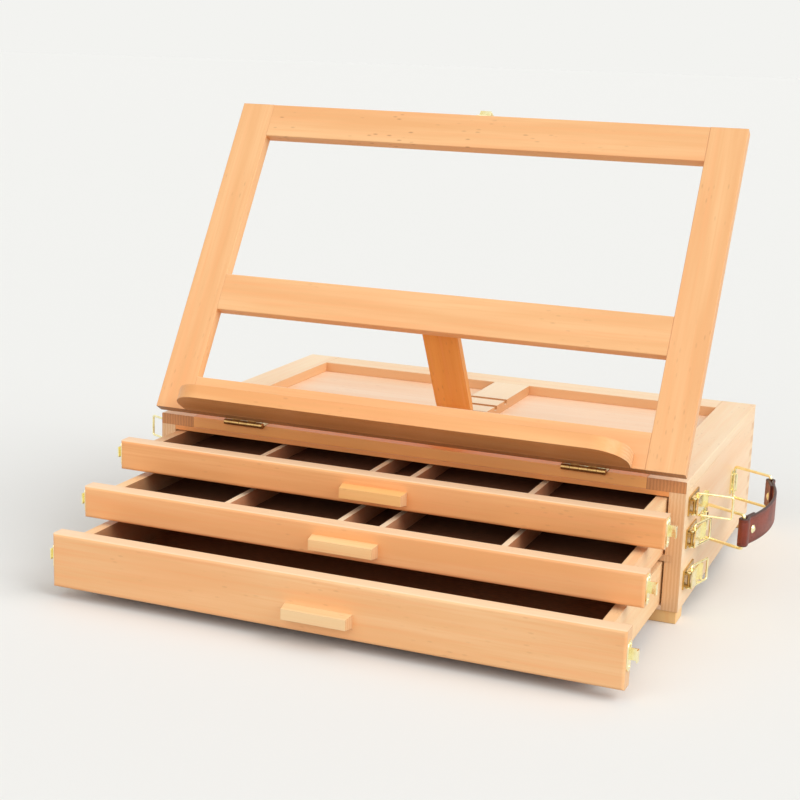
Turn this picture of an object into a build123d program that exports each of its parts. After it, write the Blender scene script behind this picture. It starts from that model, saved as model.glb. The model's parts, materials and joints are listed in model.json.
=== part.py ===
"""Wooden desk box easel with three drawers, a folding frame, draw latches and a leather handle.

Millimetres, +Z up, +Y to the back. The origin is the middle of the footprint, on the table.
"""

import os
from math import atan2, cos, degrees, hypot, radians, sin, tan

from build123d import *

os.makedirs("parts", exist_ok=True)

# Box
box_width = 420.0
box_depth = 278.0
side_thickness = 12.0
back_thickness = 12.0
finger_height = 5.9
bottom_thickness = 3.5
top_panel_thickness = 3.5
foot_size = 20.0
foot_height = 9.0
foot_inset = 1.0
edge_ease = 0.35

# Top border and notched centre stile
border_width = 28.5
border_thickness = 8.5
stile_width = 32.0
slot_count = 4
slot_pitch = 26.0
slot_width = 6.0
slot_depth = 3.5
first_slot = 105.0
strut_slot = 0

# Drawers, listed from the top one down
drawer_heights = (16.8, 19.0, 32.0)
drawer_openings = (49.0, 99.0, 140.0)
run_clearance = 0.3
side_clearance = 1.5
head_clearance = 0.7
top_clearance = 1.2
wall_thickness = 8.0
tray_thickness = 3.0
tray_lift = 1.0
divided_drawers = 2
divider_thickness = 4.5
divider_drop = 2.0
inner_divider = 16.0
outer_divider = 106.0
drawer_back_gap = 16.0
front_thickness = 12.5
front_reveal = 1.0
front_overhang = 1.0
front_round = 2.2
split_share = 0.62
pull_length = 50.0
pull_height = 10.0
pull_depth = 9.0
pull_bevel = 1.2
pull_shares = (0.42, 0.42, 0.35)
latch_shares = (0.5, 0.5, 0.55)

# Drawer runners, let into grooves in the side panels
runner_thickness = 4.6
runner_let_in = 5.0
runner_reach = 8.0

# Easel frame
frame_angle = 58.3
frame_thickness = 9.0
frame_back_gap = 6.5
frame_stile_width = 28.5
top_rail_width = 28.8
mid_rail_start = 86.2
mid_rail_width = 30.8
bottom_rail_width = 28.0

# Hinges between box and frame
hinge_place = 136.0
hinge_length = 33.0
hinge_leaf = 15.0
hinge_sheet = 1.2
hinge_inset = 0.9
hinge_leaf_gap = 0.4
mortise_clearance = 0.15
hinge_barrel = 2.2
hinge_pin = 1.1
hinge_knuckles = 5

# Canvas ledge and its hinges
ledge_length = 356.0
ledge_depth = 33.4
ledge_thickness = 10.5
ledge_start = 0.0
ledge_shift = -6.0
ledge_corner = 24.0
ledge_stop_gap = 0.3
ledge_fold = 90.0
ledge_hinge_place = 120.0
ledge_hinge_length = 26.0
ledge_leaf = 8.0
ledge_sheet = 1.0
ledge_barrel = 1.4
ledge_pin = 0.7
ledge_knuckles = 3
leaf_gap = 0.5

# Strut that props the frame
strut_width = 29.0
strut_thickness = 6.0
strut_pivot_drop = 12.0
strut_tip = 2.6
strut_taper = 14.0
strut_tip_inset = 4.0
strut_pin = 1.5
strut_pin_grip = 12.0
notch_clearance = 0.5
foot_clearance = 0.9
strut_overfold = 3.0

# Catch that holds the folded frame
catch_width = 9.0
catch_sheet = 0.8
catch_base = 7.0
catch_drop = 18.0
catch_flare = 1.5
catch_plate_size = 14.0
catch_plate_sheet = 0.8
catch_plate_drop = 9.0
catch_hole = 2.2
catch_dimple = 0.3
catch_clearance = 0.5

# Draw latches: base, lever, wire loop, and the hooked strike on the drawer front
latch_setback = 14.0
latch_base_gap = 0.5
latch_base_length = 32.0
latch_base_height = 14.0
latch_base_lead = 4.0
latch_sheet = 1.2
latch_pin = 1.0
ear_place = 4.0
ear_sheet = 1.0
lever_sheet = 1.0
lever_length = 25.5
lever_lead = 1.5
lever_play = 0.3
lever_lip = 2.3
eye_offset = 7.0
eye_radius = 2.0
latch_wire = 0.9
loop_play = 0.8
loop_bend = 1.5
loop_pin_through = 0.4
loop_angles = (0.0, 75.0, 75.0)
left_loop_angles = (25.0, 75.0, 75.0)
strike_height = 21.0
strike_width = 8.5
strike_sheet = 0.9
hook_height = 8.0
hook_setback = 2.6
hook_lip = 3.6
hook_play = 0.4
hook_clearance = 0.3

# Carrying handle on the right side
handle_height = 60.0
handle_front = 66.0
handle_span = 118.0
handle_swing = 28.0
handle_wire = 1.2
handle_loop_length = 35.0
handle_bend = 2.0
bracket_length = 19.0
bracket_width = 10.0
bracket_sheet = 1.2
bracket_seat = 0.2
bracket_barrel_length = 14.0
strap_width = 21.0
strap_thickness = 2.2
strap_bow = 11.0
strap_flap = 20.0
strap_play = 0.3
strap_side_gap = 0.3
rivet_head = 3.2
rivet_shank = 1.4
rivet_rise = 1.1
rivet_place = 12.0
rivet_seat = 0.08

# Fits and cuts
pin_clearance = 0.05
seat_clearance = 0.02
knuckle_clearance = 0.3
knuckle_gap = 0.2
overrun = 5.0

# Levels and planes worked out from the sizes above
half_width = box_width / 2
front_y = -box_depth / 2
back_y = box_depth / 2
inner_x = half_width - side_thickness
floor_z = foot_height + bottom_thickness
lower_runner_z = floor_z + run_clearance + drawer_heights[2] + head_clearance
upper_runner_z = lower_runner_z + runner_thickness + run_clearance + drawer_heights[1] + head_clearance
drawer_floors = (
    upper_runner_z + runner_thickness + run_clearance,
    lower_runner_z + runner_thickness + run_clearance,
    floor_z + run_clearance,
)
top_panel_z = drawer_floors[0] + drawer_heights[0] + top_clearance
border_z = top_panel_z + top_panel_thickness
box_top = border_z + border_thickness
side_height = border_z - foot_height
runner_end = back_y - back_thickness - drawer_back_gap
latch_axis_height = latch_sheet + eye_radius + latch_base_gap
hinge_gap = 2 * (hinge_sheet - hinge_inset) + hinge_leaf_gap
hinge_lead = ((hinge_barrel + knuckle_clearance) ** 2 - (hinge_gap / 2) ** 2) ** 0.5
hinge_y = front_y - hinge_lead
hinge_z = box_top + hinge_gap / 2
frame_z = box_top + hinge_gap
frame_face = frame_z + frame_thickness
frame_end = back_y - frame_back_gap
mid_rail_y = front_y + mid_rail_start
mid_rail_end = mid_rail_y + mid_rail_width
split_lines = (
    border_z,
    upper_runner_z + split_share * runner_thickness,
    lower_runner_z + split_share * runner_thickness,
    foot_height - front_overhang - front_reveal / 2,
)
front_spans = [
    (low + front_reveal / 2, high - front_reveal / 2)
    for high, low in zip(split_lines, split_lines[1:])
]
latch_levels = [low + share * (high - low) for (low, high), share in zip(front_spans, latch_shares)]
box_half = inner_x - side_clearance
frame_axis = Axis((0, hinge_y, hinge_z), (1, 0, 0))


def block(x0, x1, y0, y1, z0, z1):
    """A board between two opposite corners."""
    return Pos((x0 + x1) / 2, (y0 + y1) / 2, (z0 + z1) / 2) * Box(x1 - x0, y1 - y0, z1 - z0)


def rod_x(radius, x0, x1, y=0.0, z=0.0):
    """A round bar along X."""
    return Pos((x0 + x1) / 2, y, z) * Rot(0, 90, 0) * Cylinder(radius, x1 - x0)


def rod_z(radius, x, y, z0, z1):
    """A round bar along Z."""
    return Pos(x, y, (z0 + z1) / 2) * Cylinder(radius, z1 - z0)


def prism_x(points, x0, x1):
    """A bar along X whose section is given as (y, z) points."""
    section = Plane.YZ * make_face(Polyline(*points, close=True))
    return Pos(x0, 0, 0) * extrude(section, amount=x1 - x0)


def eased(board, axis):
    """A board with the long edges along one axis broken by a small chamfer."""
    return chamfer(board.edges().filter_by(axis), length=edge_ease)


def tilted(piece):
    """A piece of the folded frame, raised with the frame to its working angle."""
    return piece.rotate(frame_axis, frame_angle)


def on_side(piece, side):
    """A piece of the right side, or its mirror image on the left."""
    return piece if side > 0 else mirror(piece, about=Plane.YZ)


def mortises(face, way):
    """The shallow pockets that let the hinge leaves into a board, downwards or upwards from its face."""
    half = hinge_length / 2 + mortise_clearance
    end = hinge_y + hinge_leaf + mortise_clearance
    low, high = sorted((face + way * hinge_inset, face - way * overrun))
    return [block(x - half, x + half, front_y - overrun, end, low, high) for x in (-hinge_place, hinge_place)]


def save(node, *pieces):
    """Write one node, as one solid or a group of separate ones."""
    solids = [solid for piece in pieces for solid in piece.solids()]
    export_step(solids[0] if len(solids) == 1 else Compound(solids), f"parts/{node}.step")


# Carcass
def finger_cuts(x0, x1, parity):
    """The blocks to cut from a rear corner so that every other finger is left."""
    count = 2 * int(side_height / (2 * finger_height)) + 1
    step = side_height / count
    starts = [foot_height + i * step for i in range(parity, count, 2)]
    return [block(x0, x1, back_y - back_thickness, back_y + overrun, z, z + step) for z in starts]


def side_panel():
    """Right side panel, with finger ends at the back and two runner grooves."""
    panel = block(inner_x, half_width, front_y, back_y, foot_height, border_z)
    for cut in finger_cuts(inner_x - overrun, half_width + overrun, 1):
        panel -= cut
    for level in (upper_runner_z, lower_runner_z):
        groove_top = level + runner_thickness
        panel -= block(
            inner_x - overrun, inner_x + runner_let_in, front_y - overrun, runner_end, level, groove_top
        )
    return panel


def back_panel():
    """Back panel, whose end fingers fill the gaps of the side panels."""
    panel = block(-half_width, half_width, back_y - back_thickness, back_y, foot_height, border_z)
    for cut in finger_cuts(inner_x, half_width + overrun, 0):
        panel -= cut
        panel -= mirror(cut, about=Plane.YZ)
    return panel


def center_stile():
    """Middle bar of the top, with the open notches that take the strut's foot."""
    half = stile_width / 2
    bar = block(-half, half, front_y + border_width, back_y - border_width, border_z, box_top)
    for i in range(slot_count):
        middle = front_y + first_slot + i * slot_pitch
        bar -= block(
            -half - overrun, half + overrun, middle - slot_width / 2, middle + slot_width / 2,
            box_top - slot_depth, box_top + overrun,
        )
    return bar


def carcass():
    """Write every wooden piece of the fixed box."""
    panel = side_panel()
    save("side_panel_right", panel)
    save("side_panel_left", on_side(panel, -1))
    save("back_panel", back_panel())
    inner_back = back_y - back_thickness
    save("bottom_panel", block(-inner_x, inner_x, front_y, inner_back, foot_height, floor_z))
    save("top_panel", block(-inner_x, inner_x, front_y, inner_back, top_panel_z, border_z))
    rail_x = half_width - border_width
    front_rail = block(-rail_x, rail_x, front_y, front_y + border_width, border_z, box_top)
    rear_rail = block(-rail_x, rail_x, back_y - border_width, back_y, border_z, box_top)
    side_rail = eased(block(rail_x, half_width, front_y, back_y, border_z, box_top), Axis.Y)
    front_rail = eased(front_rail, Axis.X)
    for pocket in mortises(box_top, -1):
        front_rail -= pocket
    save("top_front_rail", front_rail)
    save("top_rear_rail", eased(rear_rail, Axis.X))
    save("top_side_rails", side_rail, on_side(side_rail, -1))
    save("center_stile", center_stile())
    near, far = inner_x - runner_reach, inner_x + runner_let_in
    runners = [
        block(near, far, front_y, runner_end, level, level + runner_thickness)
        for level in (upper_runner_z, lower_runner_z)
    ]
    save("drawer_runners", *[on_side(runner, side) for runner in runners for side in (1, -1)])
    near, far = front_y + foot_inset, back_y - foot_inset
    edge = half_width - foot_inset
    feet = [
        eased(block(edge - foot_size, edge, y, y + foot_size, 0, foot_height), Axis.Z)
        for y in (near, far - foot_size)
    ]
    save("feet", *[on_side(foot, side) for foot in feet for side in (1, -1)])


# Drawers
def strike(level, face_y):
    """Right strike of a drawer: oval plate on the end of the front, with a hook for the wire loop."""
    middle = face_y - front_thickness / 2
    plate = Pos(half_width, middle, level) * Rot(0, 90, 0) * extrude(
        SlotOverall(strike_height, strike_width), amount=strike_sheet
    )
    stem_back = face_y + run_clearance - hook_setback
    stem_front = stem_back - strike_sheet
    lip_x = half_width + latch_axis_height + latch_wire + hook_play
    low, high = level - hook_height / 2, level + hook_height / 2
    stem = block(half_width, lip_x + strike_sheet, stem_front, stem_back, low, high)
    lip = block(lip_x, lip_x + strike_sheet, stem_front - hook_lip, stem_back, low, high)
    return plate + stem + lip


def pull(low, high, share, face_y):
    """Wooden strip pull that narrows towards its outer face."""
    middle = low + share * (high - low)
    seat = Plane(origin=(0, face_y, middle), x_dir=(1, 0, 0), z_dir=(0, -1, 0))
    base = seat * Rectangle(pull_length, pull_height)
    return extrude(base, amount=pull_depth, taper=degrees(atan2(pull_bevel, pull_depth)))


def drawer(index):
    """Write the pieces of one drawer at its photographed opening."""
    name = f"drawer_{index + 1}"
    face_y = front_y - run_clearance - drawer_openings[index]
    low, high = front_spans[index]
    front = block(-half_width, half_width, face_y - front_thickness, face_y, low, high)
    front = fillet(front.faces().sort_by(Axis.Y)[0].edges(), radius=front_round)
    save(f"{name}_front", front)
    floor = drawer_floors[index]
    rim = floor + drawer_heights[index]
    end_y = face_y + runner_end - front_y
    side = block(box_half - wall_thickness, box_half, face_y, end_y, floor, rim)
    back = block(
        -box_half + wall_thickness, box_half - wall_thickness, end_y - wall_thickness, end_y, floor, rim
    )
    save(f"{name}_walls", side, on_side(side, -1), back)
    reach = box_half - wall_thickness
    tray_top = floor + tray_lift + tray_thickness
    save(f"{name}_bottom", block(-reach, reach, face_y, end_y - wall_thickness, floor + tray_lift, tray_top))
    if index < divided_drawers:
        half = divider_thickness / 2
        dividers = [
            block(x - half, x + half, face_y, end_y - wall_thickness, tray_top, rim - divider_drop)
            for x in (-outer_divider, -inner_divider, inner_divider, outer_divider)
        ]
        save(f"{name}_dividers", *dividers)
    save(f"{name}_pull", pull(low, high, pull_shares[index], face_y - front_thickness))
    right = strike(latch_levels[index], face_y)
    save(f"{name}_strikes", right, on_side(right, -1))


# Hinges
def hinge_leaf_piece(length, reach, sheet, level, barrel, pin, knuckles, parity):
    """One leaf of a butt hinge on the X axis, reaching along +Y; the leaf of parity 0 holds the pin."""
    half = length / 2
    step = length / knuckles
    end = half - knuckle_gap / 2
    notch = barrel + knuckle_clearance
    leaf = block(-end, end, 0, reach, level, level + sheet)
    spans = [(-half + i * step, -half + (i + 1) * step) for i in range(knuckles)]
    for i, (x0, x1) in enumerate(spans):
        if i % 2 != parity:
            x0, x1 = x0 - knuckle_gap / 2, x1 + knuckle_gap / 2
            leaf -= block(x0, x1, -overrun, notch, level - overrun, level + sheet + overrun)
    for i, (x0, x1) in enumerate(spans):
        if i % 2 == parity:
            leaf += rod_x(barrel, x0 + knuckle_gap / 2, x1 - knuckle_gap / 2)
    if parity == 0:
        return leaf + rod_x(pin, -end, end)
    return leaf - rod_x(pin + pin_clearance, -half - overrun, half + overrun)


def frame_hinges():
    """Write the leaves of the two hinges between the box and the frame."""
    sizes = (hinge_length, hinge_leaf, hinge_sheet)
    barrels = (hinge_barrel, hinge_pin, hinge_knuckles)
    seat = hinge_gap / 2 + hinge_inset
    lower = hinge_leaf_piece(*sizes, -seat, *barrels, 0)
    upper = hinge_leaf_piece(*sizes, seat - hinge_sheet, *barrels, 1)
    places = [Pos(x, hinge_y, hinge_z) for x in (-hinge_place, hinge_place)]
    save("box_hinge_leaves", *[place * lower for place in places])
    save("frame_hinge_leaves", *[tilted(place * upper) for place in places])


# Frame
ledge_axis_rise = ledge_barrel + knuckle_clearance
ledge_seat = 2 * ledge_sheet + leaf_gap - ledge_axis_rise
ledge_top_y = front_y + ledge_start + ledge_thickness
ledge_axis_y = ledge_top_y + ledge_seat
ledge_axis_z = frame_face + ledge_axis_rise
ledge_axis = Axis((0, ledge_axis_y, ledge_axis_z), (1, 0, 0))
strut_radius = strut_thickness / 2
strut_y = mid_rail_end - strut_pivot_drop
strut_z = frame_z + strut_radius


def raised(y, z):
    """Where a point of the folded frame lies once the frame is raised."""
    dy, dz = y - hinge_y, z - hinge_z
    angle = radians(frame_angle)
    return hinge_y + dy * cos(angle) - dz * sin(angle), hinge_z + dy * sin(angle) + dz * cos(angle)


pivot_y, pivot_z = raised(strut_y, strut_z)
foot_y = front_y + first_slot + strut_slot * slot_pitch
lean = atan2(pivot_z - box_top, foot_y - pivot_y)
foot_z = box_top + foot_clearance + strut_tip / 2 * cos(lean)
strut_length = hypot(foot_y - pivot_y, foot_z - pivot_z)
strut_angle = degrees(atan2(foot_z - pivot_z, foot_y - pivot_y))
strut_fold = frame_angle - strut_angle + strut_overfold


def mid_rail():
    """Middle rail of the frame, notched at the back for the strut and drilled for its pin."""
    rail_x = half_width - frame_stile_width
    rail = eased(block(-rail_x, rail_x, mid_rail_y, mid_rail_end, frame_z, frame_face), Axis.X)
    half = strut_width / 2 + notch_clearance
    low = strut_y - strut_radius * tan(radians(strut_fold / 2)) - notch_clearance
    tilt = radians(strut_overfold)
    deep = strut_z + strut_radius / cos(tilt) + strut_pivot_drop * tan(tilt) + notch_clearance
    rail -= block(-half, half, low, mid_rail_end + overrun, frame_z - overrun, deep)
    reach = half + strut_pin_grip
    return rail - rod_x(strut_pin + seat_clearance, -reach, reach, strut_y, strut_z)


def strut():
    """Prop with a round head on the pin and a tapered foot, at its working angle."""
    half = strut_width / 2
    bar = block(-half, half, 0, strut_length, -strut_radius, strut_radius)
    bar += rod_x(strut_radius, -half, half)
    start = strut_length - strut_taper
    for side in (1, -1):
        bar -= prism_x(
            [
                (start, side * strut_radius),
                (strut_length + overrun, side * strut_radius),
                (strut_length + overrun, side * strut_tip / 2),
                (strut_length, side * strut_tip / 2),
            ],
            -half - overrun,
            half + overrun,
        )
    corners = bar.faces().sort_by(Axis.Y)[-1].edges().filter_by(Axis.Z)
    bar = chamfer(corners, length=strut_tip_inset)
    bar -= rod_x(strut_pin + pin_clearance, -half - overrun, half + overrun)
    return Pos(0, pivot_y, pivot_z) * Rot(strut_angle, 0, 0) * bar


def ledge():
    """Canvas ledge, opened square to the frame, with its corner relieved for the hinge barrels."""
    half = ledge_length / 2
    stop = frame_face + ledge_stop_gap
    shelf = block(-half, half, ledge_top_y - ledge_thickness, ledge_top_y, stop, stop + ledge_depth)
    shelf = Pos(ledge_shift, 0, 0) * shelf
    front = shelf.edges().filter_by(Axis.Y).group_by(Axis.Z)[-1]
    shelf = fillet(front, radius=ledge_corner)
    reach = ledge_hinge_length / 2 + knuckle_gap
    for x in (-ledge_hinge_place, ledge_hinge_place):
        shelf -= rod_x(ledge_barrel + knuckle_clearance, x - reach, x + reach, ledge_axis_y, ledge_axis_z)
    return shelf


def ledge_hinges():
    """Write the leaves of the two ledge hinges, the moving ones opened with the ledge."""
    sizes = (ledge_hinge_length, ledge_leaf, ledge_sheet)
    barrels = (ledge_barrel, ledge_pin, ledge_knuckles)
    fixed = hinge_leaf_piece(*sizes, -ledge_axis_rise, *barrels, 0)
    moving = hinge_leaf_piece(*sizes, ledge_seat - ledge_sheet, *barrels, 1)
    places = [Pos(x, ledge_axis_y, ledge_axis_z) for x in (-ledge_hinge_place, ledge_hinge_place)]
    opened = [(place * moving).rotate(ledge_axis, ledge_fold) for place in places]
    save("ledge_fixed_leaves", *[tilted(place * fixed) for place in places])
    save("ledge_moving_leaves", *[tilted(leaf) for leaf in opened])


def catch_tongue():
    """Sprung brass strip on the end of the top rail that reaches down over the back panel."""
    inner = back_y + catch_plate_sheet + catch_clearance
    root = frame_z + frame_thickness / 2
    knee = frame_z
    tip = frame_z - hinge_gap - catch_drop
    outline = [
        (frame_end, root + catch_base / 2),
        (frame_end, root - catch_base / 2),
        (inner, knee),
        (inner, tip),
        (inner + catch_flare, tip - catch_flare),
        (inner + catch_flare + catch_sheet, tip - catch_flare),
        (inner + catch_sheet, tip),
        (inner + catch_sheet, knee + catch_sheet),
        (frame_end + catch_sheet, root - catch_base / 2 + catch_sheet),
        (frame_end + catch_sheet, root + catch_base / 2),
    ]
    half = catch_width / 2
    strip = prism_x(outline, -half, half)
    radius = (catch_hole**2 + catch_dimple**2) / (2 * catch_dimple)
    ball = Pos(0, inner - catch_dimple + radius, box_top - catch_plate_drop) * Sphere(radius)
    dimple = ball & block(-half, half, inner - catch_dimple, inner + catch_sheet / 2, tip, knee)
    return strip + dimple


def frame():
    """Write the raised frame and what rides on it."""
    rail_x = half_width - frame_stile_width
    stile = tilted(eased(block(rail_x, half_width, front_y, frame_end, frame_z, frame_face), Axis.Y))
    save("frame_right_stile", stile)
    save("frame_left_stile", on_side(stile, -1))
    top = block(-rail_x, rail_x, frame_end - top_rail_width, frame_end, frame_z, frame_face)
    bottom = block(-rail_x, rail_x, front_y, front_y + bottom_rail_width, frame_z, frame_face)
    save("frame_top_rail", tilted(eased(top, Axis.X)))
    bottom = eased(bottom, Axis.X)
    for pocket in mortises(frame_z, 1):
        bottom -= pocket
    save("frame_bottom_rail", tilted(bottom))
    save("frame_mid_rail", tilted(mid_rail()))
    reach = strut_width / 2 + notch_clearance + strut_pin_grip
    save("strut_pin", tilted(rod_x(strut_pin, -reach, reach, strut_y, strut_z)))
    save("strut", strut())
    save("ledge", tilted(ledge()))
    ledge_hinges()
    save("catch_tongue", tilted(catch_tongue()))


def catch_plate():
    """Square plate on the back panel, with the hole that the tongue's dimple finds."""
    half = catch_plate_size / 2
    level = box_top - catch_plate_drop
    plate = block(-half, half, back_y, back_y + catch_plate_sheet, level - half, level + half)
    hole = Pos(0, back_y, level) * Rot(90, 0, 0) * Cylinder(catch_hole, 2 * overrun)
    return plate - hole


# Latches
ear_radius = eye_radius - lever_play
flange_inner = ear_place + ear_sheet + lever_play
lever_width = 2 * (flange_inner + lever_sheet)
loop_width = lever_width + 2 * (latch_wire + loop_play)
loop_pin_end = flange_inner - loop_pin_through
latch_axis = (half_width + latch_axis_height, front_y + latch_setback)
eye_axis = (latch_axis[0], latch_axis[1] + eye_offset)
bar_y = front_y - hook_setback - strike_sheet - hook_clearance - latch_wire
loop_length = eye_axis[1] - bar_y


def latch_base(level):
    """Plate on the side panel with two ears and the lever's pin."""
    x, y = latch_axis
    start = y - latch_base_lead
    half = latch_base_height / 2
    end = start + latch_base_length
    plate = eased(block(half_width, half_width + latch_sheet, start, end, level - half, level + half), Axis.X)
    for side in (1, -1):
        z = level + side * (ear_place + ear_sheet / 2)
        ear = rod_z(ear_radius, x, y, z - ear_sheet / 2, z + ear_sheet / 2)
        ear += block(half_width, x, y - ear_radius, y + ear_radius, z - ear_sheet / 2, z + ear_sheet / 2)
        plate += ear
    return plate + rod_z(latch_pin, x, y, level - lever_width / 2, level + lever_width / 2)


def latch_lever(level):
    """Channel lever lying closed along the side panel, with a turned-out finger lip."""
    x, y = latch_axis
    half = lever_width / 2
    under = x + eye_radius
    start, end = y - lever_lead, y - lever_lead + lever_length
    lever = block(under, under + lever_sheet, start, end, level - half, level + half)
    lever += block(under, under + lever_sheet + lever_lip, end - lever_sheet, end, level - half, level + half)
    flange_y = (y + eye_axis[1]) / 2
    outline = Pos(x, flange_y) * Rot(0, 0, 90) * SlotCenterToCenter(eye_offset, 2 * eye_radius)
    outline += Pos(x + eye_radius / 2, flange_y) * Rectangle(eye_radius, eye_offset)
    for pin, centre in ((latch_pin, latch_axis), (latch_wire, eye_axis)):
        outline -= Pos(*centre) * Circle(pin + pin_clearance)
    for z in (level + flange_inner, level - half):
        lever += Pos(0, 0, z) * extrude(outline, amount=half - flange_inner)
    return lever


def latch_loop(level, angle):
    """Wire loop hooked into the lever's eyes, turned from straight out towards the back."""
    half = loop_width / 2
    route = [
        (0, 0, -loop_pin_end), (0, 0, -half), (loop_length, 0, -half),
        (loop_length, 0, half), (0, 0, half), (0, 0, loop_pin_end),
    ]
    path = FilletPolyline(*route, radius=loop_bend)
    wire = sweep(Plane(origin=path @ 0, z_dir=path % 0) * Circle(latch_wire), path=path)
    return Pos(eye_axis[0], eye_axis[1], level) * Rot(0, 0, angle) * wire


def latches():
    """Write the six latches."""
    bases = []
    for index, level in enumerate(latch_levels):
        base, lever = latch_base(level), latch_lever(level)
        for side, word, angles in ((1, "right", loop_angles), (-1, "left", left_loop_angles)):
            bases.append(on_side(base, side))
            save(f"latch_lever_{word}_{index + 1}", on_side(lever, side))
            save(f"latch_loop_{word}_{index + 1}", on_side(latch_loop(level, angles[index]), side))
    save("latch_bases", *bases)


# Handle
bracket_barrel = handle_wire + bracket_sheet
handle_axis_height = bracket_barrel + bracket_seat
handle_loop_height = strap_width + 2 * (handle_bend + handle_wire + strap_side_gap)
handle_x = half_width + handle_axis_height
handle_ends = (front_y + handle_front, front_y + handle_front + handle_span)
swing = radians(handle_swing)
bar_x = handle_x + handle_loop_length * cos(swing)
bar_shift = handle_loop_length * sin(swing)
strap_ends = [y - bar_shift for y in handle_ends]
strap_middle = sum(strap_ends) / 2
strap_radius = ((handle_span / 2) ** 2 + strap_bow**2) / (2 * strap_bow)
strap_center = bar_x + strap_bow - strap_radius


def handle_bracket(y):
    """Plate on the side panel with a rolled barrel round the loop's inner bar."""
    half = bracket_length / 2
    plate = eased(
        block(
            half_width, half_width + bracket_sheet, y - bracket_width / 2, y + bracket_width / 2,
            handle_height - half, handle_height + half,
        ),
        Axis.X,
    )
    grip = bracket_barrel_length / 2
    barrel = rod_z(bracket_barrel, handle_x, y, handle_height - grip, handle_height + grip)
    barrel &= block(
        half_width, handle_x + bracket_barrel, y - bracket_barrel, y + bracket_barrel,
        handle_height - grip, handle_height + grip,
    )
    bore = rod_z(handle_wire + pin_clearance, handle_x, y, handle_height - half, handle_height + half)
    return plate + barrel - bore


def handle_loop(y):
    """Closed rectangular wire loop, swung forward with the strap."""
    half = handle_loop_height / 2 - handle_wire
    corners = [(0, 0, -half), (0, 0, half), (handle_loop_length, 0, half), (handle_loop_length, 0, -half)]
    path = FilletPolyline(*corners, radius=handle_bend, close=True)
    wire = sweep(Plane(origin=path @ 0, z_dir=path % 0) * Circle(handle_wire), path=path)
    return Pos(handle_x, y, handle_height) * Rot(0, 0, -handle_swing) * wire


def strap_band(offset, thickness):
    """Section of a band that follows the strap's bow, offset inwards from its middle."""
    outer = strap_radius - offset + thickness / 2
    ring = Circle(outer) - Circle(outer - thickness)
    return Pos(strap_center, strap_middle) * ring


def handle_strap():
    """Leather strap wrapped round both outer bars and doubled back on itself near its ends."""
    wrap = handle_wire + strap_play
    depth = strap_bow + 2 * strap_thickness
    window = Pos(bar_x + depth / 2, strap_middle) * Rectangle(depth, handle_span)
    section = strap_band(0, strap_thickness) & window
    flaps = strap_band(strap_thickness, strap_thickness)
    rivet_holes = []
    for end, way in zip(strap_ends, (1, -1)):
        flap_zone = Pos(bar_x, end + way * strap_flap / 2) * Rectangle(2 * (depth + overrun), strap_flap)
        section += flaps & flap_zone
        section += Pos(bar_x, end) * Circle(wrap + strap_thickness)
        rivet_holes.append(rivet_frame(way) * Cylinder(rivet_shank + seat_clearance, 2 * (depth + overrun)))
    for end in strap_ends:
        section -= Pos(bar_x, end) * Circle(wrap)
    strap = Pos(0, 0, handle_height - strap_width / 2) * extrude(section, amount=strap_width)
    for hole in rivet_holes:
        strap -= hole
    return strap


def rivet_frame(way):
    """Place on the strap's bow where a rivet goes through, its Z axis square to the strap."""
    reach = handle_span / 2 - rivet_place
    turn = -way * degrees(atan2(reach, (strap_radius**2 - reach**2) ** 0.5))
    bow = Pos(strap_center, strap_middle, handle_height) * Rot(0, 0, turn)
    return bow * Pos(strap_radius, 0, 0) * Rot(0, 90, 0)


def rivet(way):
    """Brass rivet through both layers of the strap, with a low round head on each face."""
    outer = strap_thickness / 2 + rivet_seat
    inner = -strap_thickness / 2 - strap_thickness - rivet_seat
    outline = Polyline(
        (0, inner - rivet_rise),
        (rivet_head / 2, inner - rivet_rise),
        (rivet_head, inner),
        (rivet_shank, inner),
        (rivet_shank, outer),
        (rivet_head, outer),
        (rivet_head / 2, outer + rivet_rise),
        (0, outer + rivet_rise),
        close=True,
    )
    turned = revolve(Plane.XZ * make_face(outline), axis=Axis.Z)
    return rivet_frame(way) * turned


def handle():
    """Write the carrying handle."""
    front, rear = handle_ends
    save("handle_brackets", handle_bracket(front), handle_bracket(rear))
    save("handle_front_loop", handle_loop(front))
    save("handle_rear_loop", handle_loop(rear))
    save("handle_strap", handle_strap())
    save("handle_rivets", rivet(1), rivet(-1))


carcass()
for number in range(len(drawer_heights)):
    drawer(number)
frame_hinges()
frame()
save("catch_plate", catch_plate())
latches()
handle()
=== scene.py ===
"""Looks of the wooden desk box easel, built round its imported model.

Metres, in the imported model's frame: +X to the side with the handle, +Y to the back, +Z up.
"""

from __future__ import annotations

import json
import logging
import math
from collections.abc import Iterable
from dataclasses import dataclass, replace
from enum import Enum

import bmesh
import bpy
from mathutils import Euler, Matrix, Vector

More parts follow.
